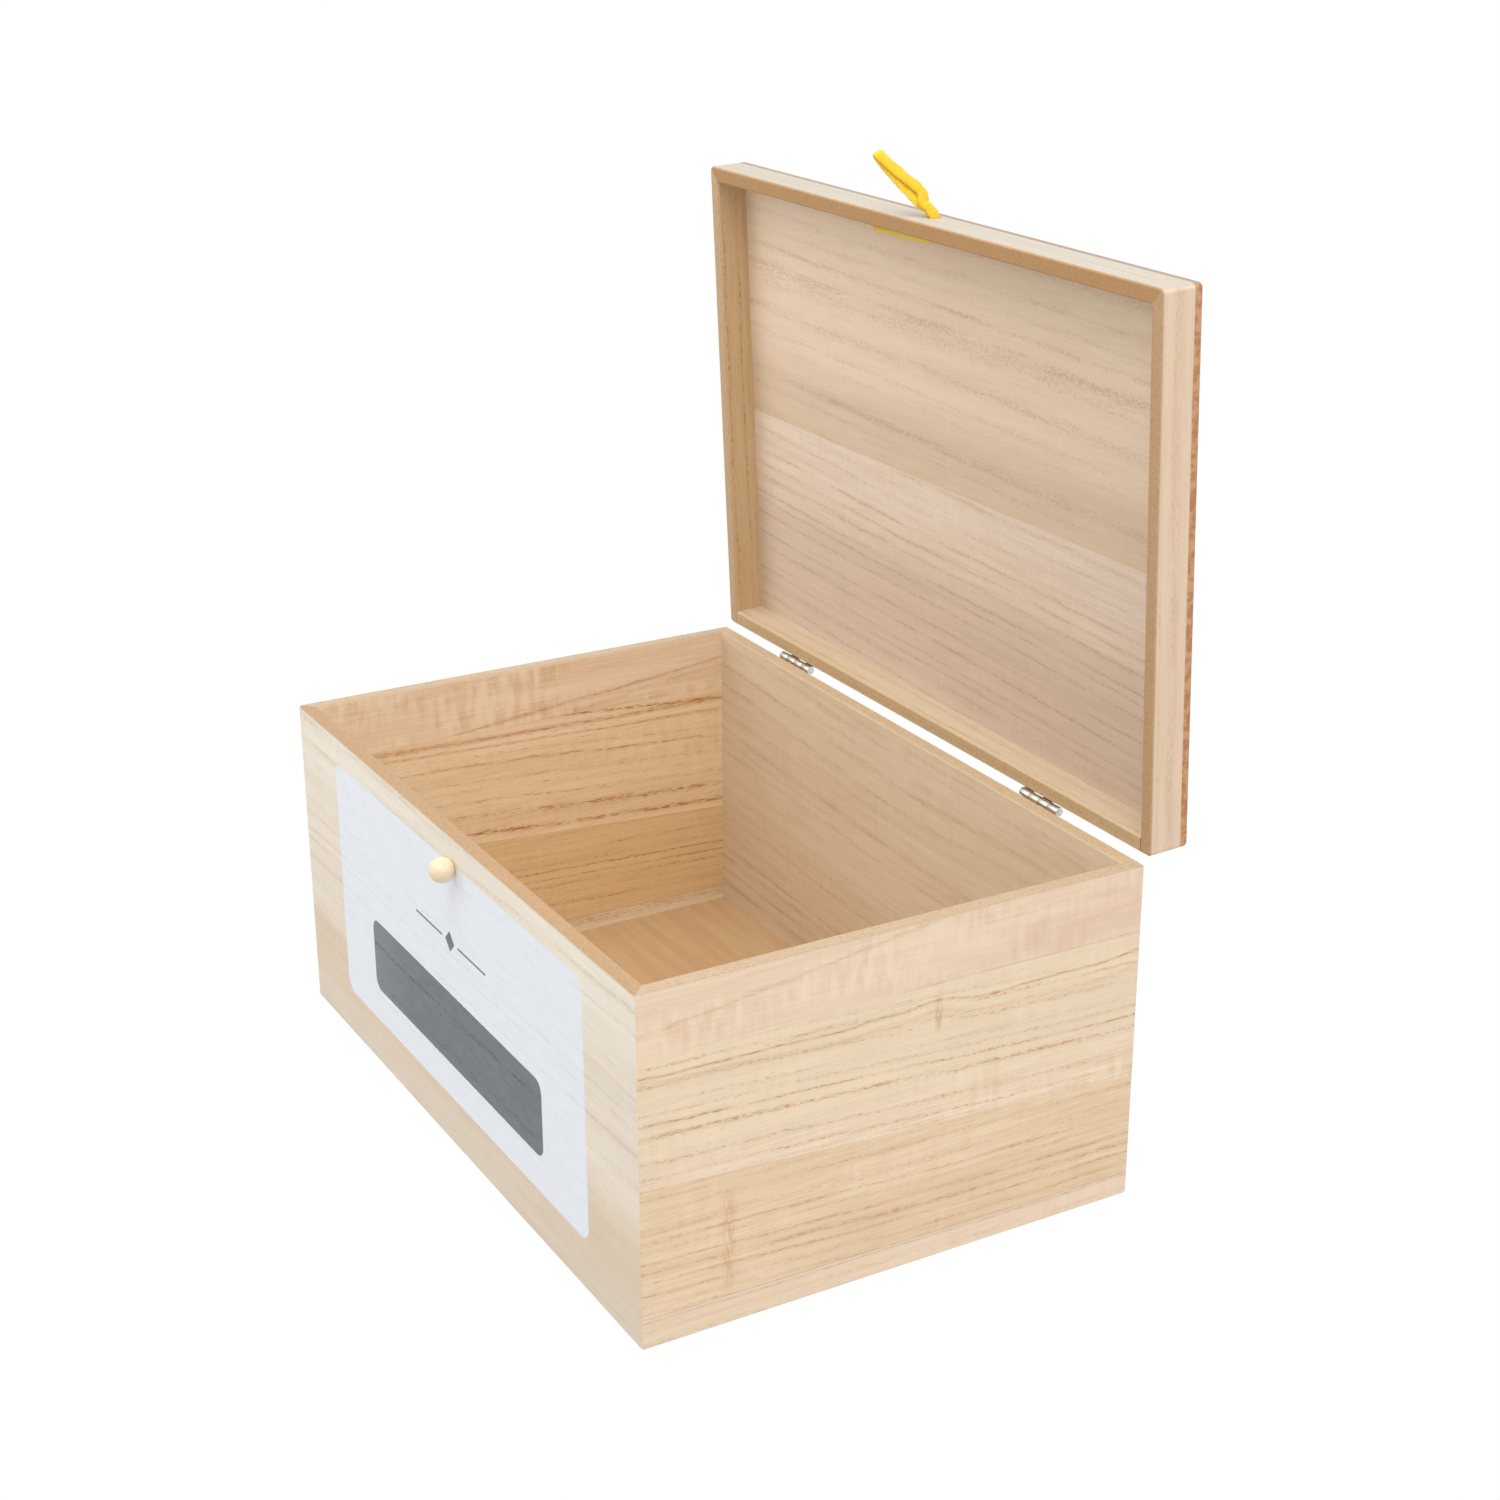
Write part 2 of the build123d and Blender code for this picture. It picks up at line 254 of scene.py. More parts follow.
def makeBoardGrain(look):
    inputs = placeAnd(*[labelOf(key) for key in grainKeys], "Bend")
    inputs += [(name, "color") for name in ("Pale", "Deep", "Line")]
    outputs = [("Color", "color"), ("Lines", "float"), ("Height", "float")]
    group, given, made = startGroup("boardGrain", inputs, outputs)
    seeds = join(given["Seed"], given["Seed"], given["Seed"])
    place = vectorSums("ADD", given["Place"], vectorSums("MULTIPLY", seeds, look["seedStep"]))
    along, across, through = split(place)

    # rings
    wander = times(given["Ring Wander"], 2.0)
    level = timesPlus(along, given["Ring Slope"], across)
    level = timesPlus(through, given["Ring Tilt"], level)
    level = timesPlus(swing(place, *look["slow"]), wander, level)
    level = timesPlus(swing(place, *look["ripple"]), look["rippleHeight"], level)
    level = sums("ADD", level, given["Bend"])
    ring = sums("DIVIDE", level, given["Ring Spacing"])
    uneven = cloud(join(ring, given["Seed"], 0.0), *look["uneven"])
    ring = timesPlus(uneven, look["unevenRings"], ring)
    count = sums("FLOOR", ring)
    away = sums("ABSOLUTE", sums("SUBTRACT", sums("FRACT", ring), 0.5))
    away = times(away, given["Ring Spacing"])
    boldness = addNode(group, "ShaderNodeTexWhiteNoise", {"W": count}, noise_dimensions="1D").outputs[0]
    boldness = fade(boldness, 0.0, 1.0, look["leastBold"], 1.0)
    faint = spots(place, look["faint"], look["faintFade"])
    bold = times(boldness, faint)
    band = times(fade(away, given["Band Width"], 0.0), bold)
    toneEnd = times(given["Ring Spacing"], 0.5)
    tone = times(fade(away, toneEnd, 0.0), bold)

    # pores lie in short dashes, thick in the ring lines and thin between them
    dashAlong = sums("DIVIDE", along, given["Dash Length"])
    dashAcross = sums("DIVIDE", across, given["Dash Width"])
    dashThrough = sums("DIVIDE", through, given["Dash Width"])
    dashes = cloud(join(dashAlong, dashAcross, dashThrough), (1.0, 1.0, 1.0), 1.0)
    bar = timesPlus(band, look["barInLine"], look["bar"])
    bar = timesPlus(given["Pore Amount"], look["barByAmount"], bar)
    pores = fade(dashes, bar, sums("ADD", bar, look["barSoft"]))
    depth = timesPlus(band, 1 - look["depthBetween"], look["depthBetween"])
    lines = times(pores, depth)
    lines = timesPlus(band, look["lineBase"], lines)
    lines = times(lines, given["Line Strength"], clamp=True)

    # fibres, curl and broad tones
    fibre = cloud(place, *look["fibre"])
    fibreSwing = sums("SUBTRACT", fibre, 0.5)
    broad = timesPlus(cloud(place, *look["broad"]), *look["broadShare"])
    flameWhere = spots(place, look["flameWhere"], look["flameFade"])
    flame = times(swing(place, *look["flame"]), flameWhere)
    flame = times(flame, given["Curl"])
    share = timesPlus(tone, look["toneShare"], broad)
    share = timesPlus(flame, look["flameShare"], share)
    share = timesPlus(fibreSwing, look["fibreShare"], share, clamp=True)
    wood = mixColor(share, given["Pale"], given["Deep"])
    relief = times(fibre, look["fibreHeight"])
    feed(made["Color"], mixColor(lines, wood, given["Line"]))
    feed(made["Lines"], lines)
    feed(made["Height"], sums("SUBTRACT", relief, lines))
    return group


# One bold ring line, drawn across a board
streakLook = {
    "slow": ((60, 300, 300), 2.0), "dashes": ((5.0, 0.42, 0.42), 1.0),
    "bar": 0.68, "barInLine": -0.2, "barSoft": 0.14, "depthBetween": 0.3,
}


def makeGrainStreak(look):
    inputs = placeAnd("Height", "Slope", "Wander", "Width", "Bend")
    group, given, made = startGroup("grainStreak", inputs, [("Streak", "float")])
    along, across = split(given["Place"])[:2]
    line = timesPlus(along, given["Slope"], given["Height"])
    line = timesPlus(swing(given["Place"], *look["slow"]), given["Wander"], line)
    away = sums("ADD", sums("SUBTRACT", across, line), given["Bend"])
    near = nearness(away, given["Width"])
    dashes = cloud(given["Place"], *look["dashes"])
    bar = timesPlus(near, look["barInLine"], look["bar"])
    pores = fade(dashes, bar, sums("ADD", bar, look["barSoft"]))
    depth = timesPlus(pores, 1 - look["depthBetween"], look["depthBetween"])
    feed(made["Streak"], times(near, depth))
    return group


# Trace of a branch or a run of sap: the rings bend round it and the wood is stained
branchLook = {
    "sway": ((40, 9, 40), 1.0), "grain": ((1.2, 6, 1.2), 2.0), "grainFade": (0.3, 0.6),
    "softEnds": 1.5, "bendReach": 7.0,     # times the mark's width
}


def makeBranchMark(look):
    inputs = placeAnd("Along", "Low", "High", "Width", "Lift")
    group, given, made = startGroup("branchMark", inputs, [("Stain", "float"), ("Bend", "float")])
    along, across = split(given["Place"])[:2]
    away = sums("SUBTRACT", along, given["Along"])
    away = timesPlus(swing(given["Place"], *look["sway"]), given["Width"], away)
    near = nearness(away, given["Width"])
    wide = nearness(away, times(given["Width"], look["bendReach"]))
    soft = times(given["Width"], look["softEnds"])
    lowFrom = sums("SUBTRACT", given["Low"], soft)
    lowTo = sums("ADD", given["Low"], soft)
    highFrom = sums("ADD", given["High"], soft)
    highTo = sums("SUBTRACT", given["High"], soft)
    tall = times(fade(across, lowFrom, lowTo), fade(across, highFrom, highTo))
    grain = spots(given["Place"], look["grain"], look["grainFade"])
    feed(made["Stain"], times(times(near, tall), grain))
    feed(made["Bend"], times(times(wide, tall), given["Lift"]))
    return group


# A straight glue line between two boards
seamLook = {"breaks": ((7, 40, 40), 2.0), "breakFade": (0.3, 0.6, 0.35, 1.0), "startFade": 30.0}


def makeGlueSeam(look):
    inputs = placeAnd("Height", "Slope", "Width", "Start")
    group, given, made = startGroup("glueSeam", inputs, [("Seam", "float")])
    along, across = split(given["Place"])[:2]
    line = timesPlus(along, given["Slope"], given["Height"])
    near = nearness(sums("SUBTRACT", across, line), given["Width"])
    broken = spots(given["Place"], look["breaks"], look["breakFade"])
    begun = fade(along, given["Start"], sums("ADD", given["Start"], look["startFade"]))
    feed(made["Seam"], times(times(near, broken), begun))
    return group


# A painted rectangle with round corners and a ragged edge
patchLook = {"rough": ((2.2, 0.8, 0.8), 2.0), "edge": 0.12}


def makeRoundedPatch(look):
    inputs = [(name, "vector") for name in ("Place", "Centre", "Half Size")]
    inputs += [("Corner", "float"), ("Ragged", "float")]
    group, given, made = startGroup("roundedPatch", inputs, [("Mask", "float")])
    corner = join(given["Corner"], given["Corner"], 0.0)
    away = vectorSums("ABSOLUTE", vectorSums("SUBTRACT", given["Place"], given["Centre"]))
    away = vectorSums("SUBTRACT", away, vectorSums("SUBTRACT", given["Half Size"], corner))
    over = vectorSums("MAXIMUM", away, (0.0, 0.0, 0.0))
    flat = vectorSums("MULTIPLY", over, (1.0, 1.0, 0.0))
    distance = sums("SUBTRACT", vectorSums("LENGTH", flat), given["Corner"])
    rough = swing(given["Place"], *look["rough"])
    distance = timesPlus(rough, given["Ragged"], distance)
    feed(made["Mask"], fade(distance, look["edge"], -look["edge"]))
    return group


boardPlace = makeBoardPlace()
boardGrain = makeBoardGrain(grainLook)
grainStreak = makeGrainStreak(streakLook)
branchMark = makeBranchMark(branchLook)
glueSeam = makeGlueSeam(seamLook)
roundedPatch = makeRoundedPatch(patchLook)
print("shader groups built")


def startMaterial(name, specular):
    material = bpy.data.materials.new(name)
    material.use_nodes = True
    tree = material.node_tree
    shader = tree.nodes["Principled BSDF"]
    shader.inputs["Specular IOR Level"].default_value = specular
    return material, tree, shader


def dressShader(tree, shader, color, roughness, height, look):
    bump = addNode(tree, "ShaderNodeBump", {
        "Height": height, "Distance": look["relief"] * mm, "Strength": look["reliefStrength"],
    })
    feed(shader.inputs["Base Color"], color)
    feed(shader.inputs["Roughness"], roughness)
    feed(shader.inputs["Normal"], bump.outputs[0])


# The order names the axes along the grain, across it and through the board
def boardSpot(tree, axes, order):
    along, across, through = [axes[name] for name in order]
    return placeGroup(tree, boardPlace, {
        "Along": along, "Across": across, "Through": through, "Origin": axes["origin"],
    })["Place"]


def placeGrain(tree, place, board, pale, deep, bend=0.0):
    return placeGroup(tree, boardGrain, {
        "Place": place, **{labelOf(key): board[key] for key in grainKeys}, "Bend": bend,
        "Pale": pale, "Deep": deep, "Line": tint(*board["line"]),
    })


# What every board starts from; each board then changes what the photograph shows of it
plainBoard = {
    "seed": 1.0,
    "ringSpacing": 13.0,       # mm
    "ringSlope": 0.0,
    "ringWander": 4.0,         # mm
    "ringTilt": 0.6,
    "bandWidth": 2.2,          # mm
    "dashLength": 2.4,         # mm
    "dashWidth": 0.34,         # mm
    "lineStrength": 0.6,
    "poreAmount": 0.5,
    "curl": 0.25,
    "pale": (228, 206, 178),
    "deep": (215, 186, 152),
    "line": (158, 110, 70),
    "tones": (),               # (height in mm, pale colour) up the board, in place of one pale colour
    "blush": None,             # (from, to, colour) along the board
    "paintedShadeAlong": None,         # (from, to, share) along the board: painted shade, darker towards the far end
    "rim": None,               # (from, to) across the board, in mm, where the cut edge shows
    "rimColor": (207, 177, 142),
    "ends": None,              # (from, to) along the board, in mm, where the end grain shows
    "endColors": ((200, 150, 106), (174, 114, 68)),
    "streaks": (),             # (height, slope, wander, width, strength, colour)
    "branches": (),            # (along, low, high, width, lift, strength)
    "seams": (),               # (height, slope, strength, start)
    "seamColor": (140, 100, 66),
    "mark": (180, 122, 70),
}
# The same on every board; clouds have their sizes in mm, then detail and roughness
boardFinish = {
    "toneFade": 9.0, "toneDeep": 0.94,
    "patches": ((45, 9, 30), 2.0), "patchFade": (0.35, 0.65), "blushShare": 0.5,
    "specks": ((1.1, 0.7, 0.7), 3.0, 0.7), "speckFade": (0.35, 0.8), "speckShade": 0.84, "rimLines": 0.5,
    "endRings": ((60, 2.4, 2.4), 2.0), "endFade": (0.38, 0.62),
    "cutShare": 0.9, "seamWidth": 0.32,
    "specular": 0.28, "roughness": 0.56, "lineRoughness": 0.2, "relief": 0.12, "reliefStrength": 0.35,
}


def paintBoard(tree, place, board, finish):
    along, across = split(place)[:2]
    bend = 0.0
    stains = []
    for spot, low, high, width, lift, strength in board["branches"]:
        branch = placeGroup(tree, branchMark, {
            "Place": place, "Along": spot, "Low": low, "High": high, "Width": width, "Lift": lift,
        })
        bend = branch["Bend"]
        stains.append(times(branch["Stain"], strength))
    pale = tint(*board["pale"])
    deep = tint(*board["deep"])
    for level, color in board["tones"]:
        above = fade(across, level - finish["toneFade"], level + finish["toneFade"])
        pale = mixColor(above, pale, tint(*color))
        deep = mixColor(above, deep, darker(color, finish["toneDeep"]))
    grain = placeGrain(tree, place, board, pale, deep, bend)
    color, lines, height = grain["Color"], grain["Lines"], grain["Height"]
    if board["blush"]:
        start, end, flush = board["blush"]
        patchy = spots(place, finish["patches"], finish["patchFade"])
        share = times(fade(along, start, end, 0.0, finish["blushShare"]), patchy)
        color = mixColor(share, color, tint(*flush))
    # Painted shade: the colour darkens smoothly along the board, towards its far end
    if board["paintedShadeAlong"]:
        start, end, share = board["paintedShadeAlong"]
        color = mixColor(fade(along, start, end, 0.0, share), color, tint(0, 0, 0))
    for level, slope, wander, width, strength, shade in board["streaks"]:
        streak = placeGroup(tree, grainStreak, {
            "Place": place, "Height": level, "Slope": slope, "Wander": wander, "Width": width, "Bend": bend,
        })["Streak"]
        color = mixColor(times(streak, strength), color, tint(*shade))
    for stain in stains:
        color = mixColor(stain, color, tint(*board["mark"]))
    if board["rim"]:
        specks = spots(place, finish["specks"], finish["speckFade"])
        rimColor = board["rimColor"]
        cut = mixColor(specks, tint(*rimColor), darker(rimColor, finish["speckShade"]))
        cut = mixColor(times(lines, finish["rimLines"]), cut, tint(*board["line"]))
        color = mixColor(fade(across, *board["rim"], 0.0, finish["cutShare"]), color, cut)
    if board["ends"]:
        rings = spots(place, finish["endRings"], finish["endFade"])
        cut = mixColor(rings, *[tint(*c) for c in board["endColors"]])
        outside = sums("ABSOLUTE", along)
        color = mixColor(fade(outside, *board["ends"], 0.0, finish["cutShare"]), color, cut)
    for level, slope, strength, start in board["seams"]:
        seam = placeGroup(tree, glueSeam, {
            "Place": place, "Height": level, "Slope": slope, "Width": finish["seamWidth"], "Start": start,
        })["Seam"]
        color = mixColor(times(seam, strength), color, tint(*board["seamColor"]))
    return color, lines, height


def boardMaterial(name, axes, order, changes):
    finish = boardFinish
    material, tree, shader = startMaterial(name, finish["specular"])
    place = boardSpot(tree, axes, order)
    color, lines, height = paintBoard(tree, place, {**plainBoard, **changes}, finish)
    roughness = timesPlus(lines, finish["lineRoughness"], finish["roughness"])
    dressShader(tree, shader, color, roughness, height, finish)
    return material


# Painted front: a white label with a dark band and a small plain ornament
frontPaint = {
    "label": {
        "centre": (0.25, 70.75), "halfSize": (111.25, 50.25), "corner": 6.0, "ragged": 0.5,
        "color": (233, 236, 242), "mottled": 0.985, "line": (190, 186, 186), "lineShare": 0.6,
    },
    "band": {
        "centre": (-1.3, 50.45), "halfSize": (77.7, 15.35), "corner": 5.0, "ragged": 0.5,
        "color": (110, 117, 121), "mottled": 0.93, "line": (60, 62, 64), "lineShare": 2.2,
        # painted light: the band turns lighter towards its left end
        "paintedLightColor": (122, 129, 133), "leftFade": (-30.0, -90.0),
    },
    # two lines, their middles one reach away from the lozenge between them
    "ornament": {
        "centre": (0.0, 88.0), "reach": 19.5, "halfSize": (12.5, 0.45), "corner": 0.4, "ragged": 0.2,
        "lozenge": 4.2, "edge": 0.2,
    },
    "mottle": ((9, 3, 3), 3.0), "mottleFade": (0.3, 0.7),
    "faceEdge": (-99.85, -99.97),    # only the flat outside face is painted
    "thickness": 0.5, "roughness": 0.58, "smoother": -0.08,
}


def frontMaterial(name, paint, changes):
    finish = boardFinish
    material, tree, shader = startMaterial(name, finish["specular"])
    place = boardSpot(tree, bodyAxes, "xzy")
    color, lines, height = paintBoard(tree, place, {**plainBoard, **changes}, finish)
    along, across, through = split(place)
    face = fade(through, *paint["faceEdge"])
    mottle = spots(place, paint["mottle"], paint["mottleFade"])

    def patch(centre, look):
        mask = placeGroup(tree, roundedPatch, {
            "Place": place, "Centre": (*centre, 0.0), "Half Size": (*look["halfSize"], 0.0),
            "Corner": look["corner"], "Ragged": look["ragged"],
        })["Mask"]
        return times(mask, face)

    def coat(look):
        return mixColor(mottle, tint(*look["color"]), darker(look["color"], look["mottled"]))

    def grained(paintColor, look):
        share = times(lines, look["lineShare"], clamp=True)
        return mixColor(share, paintColor, tint(*look["line"]))

    label, band, ornament = paint["label"], paint["band"], paint["ornament"]
    labelMask = patch(label["centre"], label)
    dark = patch(band["centre"], band)
    x, z = ornament["centre"]
    for reach in (-ornament["reach"], ornament["reach"]):
        dark = sums("MAXIMUM", patch((x + reach, z), ornament), dark)
    offX = sums("ABSOLUTE", sums("SUBTRACT", along, x))
    offZ = sums("ABSOLUTE", sums("SUBTRACT", across, z))
    outer, inner = [ornament["lozenge"] + way * ornament["edge"] for way in (1, -1)]
    lozenge = fade(sums("ADD", offX, offZ), outer, inner)
    dark = sums("MAXIMUM", times(lozenge, face), dark)

    white = grained(coat(label), label)
    # Painted light: the band's slate is mixed lighter towards the left
    slate = mixColor(fade(along, *band["leftFade"]), coat(band), tint(*band["paintedLightColor"]))
    slate = grained(slate, band)
    color = mixColor(labelMask, color, white)
    color = mixColor(dark, color, slate)
    painted = sums("MAXIMUM", labelMask, dark)
    roughness = timesPlus(painted, paint["smoother"], paint["roughness"])
    height = timesPlus(painted, paint["thickness"], height)
    dressShader(tree, shader, color, roughness, height, finish)
    return material


# Fibre board of the base
baseBoard = {
    "light": (190, 158, 119), "dark": (183, 149, 111),
    "wide": ((70, 5, 18), 3.0), "wideFade": (0.3, 0.7),
    "fine": ((2.4, 0.6, 0.6), 4.0, 0.7), "speckFade": (0.5, 0.75, 0.0, 0.25), "speckShade": 0.75,
    "specular": 0.25, "roughness": 0.6, "fineRoughness": 0.2, "relief": 0.1, "reliefStrength": 0.3,
}


def fibreBoardMaterial(name, look):
    material, tree, shader = startMaterial(name, look["specular"])
    place = boardSpot(tree, bodyAxes, "xyz")
    fine = cloud(place, *look["fine"])
    wide = spots(place, look["wide"], look["wideFade"])
    color = mixColor(wide, tint(*look["light"]), tint(*look["dark"]))
    specks = fade(fine, *look["speckFade"])
    color = mixColor(specks, color, darker(look["dark"], look["speckShade"]))
    roughness = timesPlus(fine, look["fineRoughness"], look["roughness"])
    dressShader(tree, shader, color, roughness, fine, look)
    return material


bodyRim = (131.1, 131.7)
lidRim = (0.95, 0.35)
lidEnds = (149.3, 149.7)
frontBoard = {
    "seed": 4.3, "ringSpacing": 8.0, "ringSlope": -0.02, "ringWander": 7.0, "bandWidth": 1.5,
    "lineStrength": 0.42, "poreAmount": 0.7, "curl": 0.2, "pale": (226, 211, 191), "deep": (215, 198, 177),
    "tones": ((14.0, (227, 206, 182)), (45.0, (238, 225, 207)), (107.0, (242, 232, 215))),
    "line": (214, 172, 130), "rim": bodyRim, "rimColor": (178, 140, 97),
}
backBoard = {
    "seed": 6.7, "ringSpacing": 6.5, "ringSlope": 0.02, "ringWander": 8.0, "bandWidth": 1.6,
    "lineStrength": 0.32, "pale": (226, 209, 184), "deep": (213, 190, 160), "line": (164, 122, 84),
    "rim": bodyRim, "rimColor": (202, 175, 141),
}
# Both lid boards carry painted shade, darker along them towards the +x end
lidBoards = {
    "lid_front_board": {
        "seed": 9.4, "ringSpacing": 10.0, "ringSlope": -0.03, "ringTilt": 1.2, "bandWidth": 2.8,
        "dashLength": 1.1, "dashWidth": 0.65, "lineStrength": 0.36, "poreAmount": 0.9, "curl": 0.15,
        "pale": (237, 215, 189), "deep": (225, 201, 172), "tones": ((-122.0, (225, 201, 172)),),
        "line": (176, 135, 96), "paintedShadeAlong": (-150.0, 150.0, 0.1), "ends": lidEnds,
        "rim": (-200.6, -201.3), "rimColor": (158, 139, 124),
    },
    "lid_back_board": {
        "seed": 7.3, "ringSpacing": 5.5, "ringSlope": -0.04, "ringTilt": 1.2, "bandWidth": 1.2,
        "dashLength": 2.2, "lineStrength": 0.38, "poreAmount": 1.0,
        "pale": (234, 216, 196), "deep": (220, 197, 174), "tones": ((-62.0, (221, 199, 177)),),
        "line": (172, 128, 90), "paintedShadeAlong": (-50.0, 150.0, 0.09), "ends": lidEnds,
    },
}
plainRail = {"ringSpacing": 5.0, "ringWander": 2.5, "bandWidth": 1.2, "curl": 0.15, "rim": lidRim}
# axes of the grain, then seed, line strength, pale, deep and rim colour
railKeys = ("seed", "lineStrength", "pale", "deep", "rimColor")
lidRails = {
    # painted shade: the front rail's pale and deep are greyer and darker than its wood, against the strong
    # light on its face
    "lid_front_rail": ("xzy", 1.7, 0.12, (195, 187, 174), (188, 177, 161), (185, 137, 80)),
    "lid_back_rail": ("xzy", 2.9, 0.4, (206, 188, 162), (196, 171, 140), (206, 176, 134)),
    "lid_left_rail": ("yzx", 3.8, 0.7, (213, 185, 146), (200, 168, 125), (200, 168, 130)),
    "lid_right_rail": ("yzx", 5.1, 0.2, (228, 204, 178), (219, 190, 161), (190, 152, 110)),
}
sideJoints = {
    "foot": (10.55, -0.0135, 0.4, -200.0), "low": (54.75, -0.0595, 0.1, -200.0),
    "high": (107.55, -0.0065, 0.3, -15.0),
}
sideBoards = {
    "foot_strip": {
        "seed": 3.2, "ringSpacing": 7.0, "ringSlope": 0.02, "ringWander": 3.0, "lineStrength": 0.4,
        "pale": (239, 216, 190), "deep": (229, 201, 170), "line": (172, 126, 88),
        "streaks": ((9.4, -0.012, 2.0, 1.0, 0.45, (166, 122, 86)),), "seams": (sideJoints["foot"],),
    },
    "lower_board": {
        "seed": 5.6, "ringSpacing": 4.2, "ringSlope": 0.04, "ringWander": 6.0, "bandWidth": 1.1,
        "pale": (238, 213, 181), "deep": (221, 188, 151), "line": (190, 136, 84),
        "branches": ((-67.0, 15.0, 50.0, 4.0, 0.0, 0.4),), "mark": (196, 140, 86),
        "seams": (sideJoints["foot"], sideJoints["low"]),
    },
    "middle_board": {
        "seed": 8.1, "ringSpacing": 5.6, "ringSlope": 0.05, "ringWander": 6.0, "bandWidth": 1.5,
        "lineStrength": 0.7, "curl": 0.4, "pale": (244, 223, 198), "deep": (224, 194, 158),
        "tones": ((67.0, (240, 218, 187)),), "line": (190, 130, 80),
        "streaks": (
            (100.0, -0.02, 8.0, 1.1, 0.8, (188, 116, 66)), (95.5, -0.045, 8.0, 2.6, 0.35, (198, 138, 92)),
        ),
        "branches": ((15.0, 91.0, 102.0, 2.2, -2.5, 0.5),),
        "seams": (sideJoints["low"], sideJoints["high"]),
    },
    "rim_board": {
        "seed": 2.4, "ringSpacing": 30.0, "ringSlope": -0.12, "lineStrength": 0.35, "curl": 1.1,
        "pale": (240, 217, 190), "deep": (228, 200, 170), "line": (186, 138, 96),
        "blush": (10.0, 80.0, (220, 187, 168)), "rim": bodyRim, "rimColor": (193, 168, 139),
        "streaks": ((129.5, 0.127, 5.0, 1.8, 0.5, (204, 156, 114)),), "seams": (sideJoints["high"],),
    },
}
# Where the left side differs from the right
leftSeedStep = 11.0
leftBoards = {
    "foot_strip": {
        "lineStrength": 0.5, "pale": (240, 226, 198), "deep": (229, 209, 175), "line": (190, 142, 98),
    },
    "lower_board": {
        "lineStrength": 0.7, "pale": (233, 205, 161), "deep": (218, 185, 139), "line": (174, 114, 66),
        "branches": (),
    },
    "middle_board": {
        "ringSpacing": 6.0, "bandWidth": 1.8, "dashLength": 3.6, "lineStrength": 0.95,
        "pale": (243, 220, 186), "deep": (226, 196, 155), "tones": (), "line": (180, 114, 64), "branches": (),
        "streaks": (
            (103.0, -0.02, 5.0, 2.2, 0.85, (180, 110, 60)), (99.0, -0.03, 5.0, 1.4, 0.7, (184, 116, 66)),
        ),
    },
    "rim_board": {
        "curl": 1.0, "pale": (243, 221, 193), "deep": (224, 194, 158), "blush": None,
        "streaks": ((111.0, 0.1, 5.0, 1.6, 0.7, (186, 120, 72)),),
    },
}


def camelName(name):
    first, *others = name.split("_")
    return first + "".join(word.title() for word in others)


def dressBoards():
    dressed = {
        "front_panel": frontMaterial("paintedFront", frontPaint, frontBoard),
        "back_panel": boardMaterial("backPanel", bodyAxes, "xzy", backBoard),
        "base_panel": fibreBoardMaterial("basePanel", baseBoard),
    }
    for name, board in lidBoards.items():
        dressed[name] = boardMaterial(camelName(name), lidAxes, "xyz", board)
    for name, (order, *values) in lidRails.items():
        board = {**plainRail, **dict(zip(railKeys, values))}
        dressed[name] = boardMaterial(camelName(name), lidAxes, order, board)
    for side, seedStep, others in (("left", leftSeedStep, leftBoards), ("right", 0.0, {})):
        for part, look in sideBoards.items():
            name = f"{side}_side_{part}"
            board = {**look, **others.get(part, {}), "seed": look["seed"] + seedStep}
            dressed[name] = boardMaterial(camelName(name), bodyAxes, "yzx", board)
    for name, material in dressed.items():
        data = nodes[name].data
        data.materials.clear()
        data.materials.append(material)


dressBoards()
print("boards dressed")


# Pieces
def finishPiece(piece, body, slot, *replaced):
    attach(piece, body)
    if replaced:
        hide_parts(*replaced)


def pieceFrom(name, mesh, material):
    mesh.name = name
    mesh.materials.clear()
    mesh.materials.append(material)
    piece = bpy.data.objects.new(name, mesh)
    scene.collection.objects.link(piece)
    return piece


def smoothMesh(shape, sharpest):
    for face in shape.faces:
        face.smooth = True
    for edge in shape.edges:
        edge.smooth = not edge.is_manifold or edge.calc_face_angle(0.0) < math.radians(sharpest)


# Rings of points joined into a closed tube, with a point at each end
def ringsToMesh(name, rings, firstEnd, lastEnd, sharpest=40):
    shape = bmesh.new()
    loops = [[shape.verts.new(p) for p in ring] for ring in rings]
    count = len(loops[0])
    ends = (shape.verts.new(firstEnd), shape.verts.new(lastEnd))
    for near, far in zip(loops, loops[1:]):
        for i in range(count):
            shape.faces.new((near[i], near[(i + 1) % count], far[(i + 1) % count], far[i]))
    for i in range(count):
        shape.faces.new((loops[0][(i + 1) % count], loops[0][i], ends[0]))
        shape.faces.new((loops[-1][i], loops[-1][(i + 1) % count], ends[1]))
    bmesh.ops.recalc_face_normals(shape, faces=shape.faces)
    smoothMesh(shape, sharpest)
    mesh = bpy.data.meshes.new(name)
    shape.to_mesh(mesh)
    shape.free()
    return mesh


# The holder's mesh with its modifiers applied; the holder goes
def meshFrom(holder):
    done = holder.evaluated_get(bpy.context.evaluated_depsgraph_get())
    mesh = bpy.data.meshes.new_from_object(done)
    bpy.data.objects.remove(holder)
    return mesh


# Runs a tree on a mesh and gives back a plain mesh
def runTree(tree, mesh, values):
    holder = bpy.data.objects.new("treeHolder", mesh)
    scene.collection.objects.link(holder)
    modifier = holder.modifiers.new("tree", "NODES")
    modifier.node_group = tree
    sockets = {s.name: s.identifier for s in tree.interface.items_tree if s.in_out == "INPUT"}
    for name, value in values.items():
        modifier[sockets[name]] = value
    return meshFrom(holder)


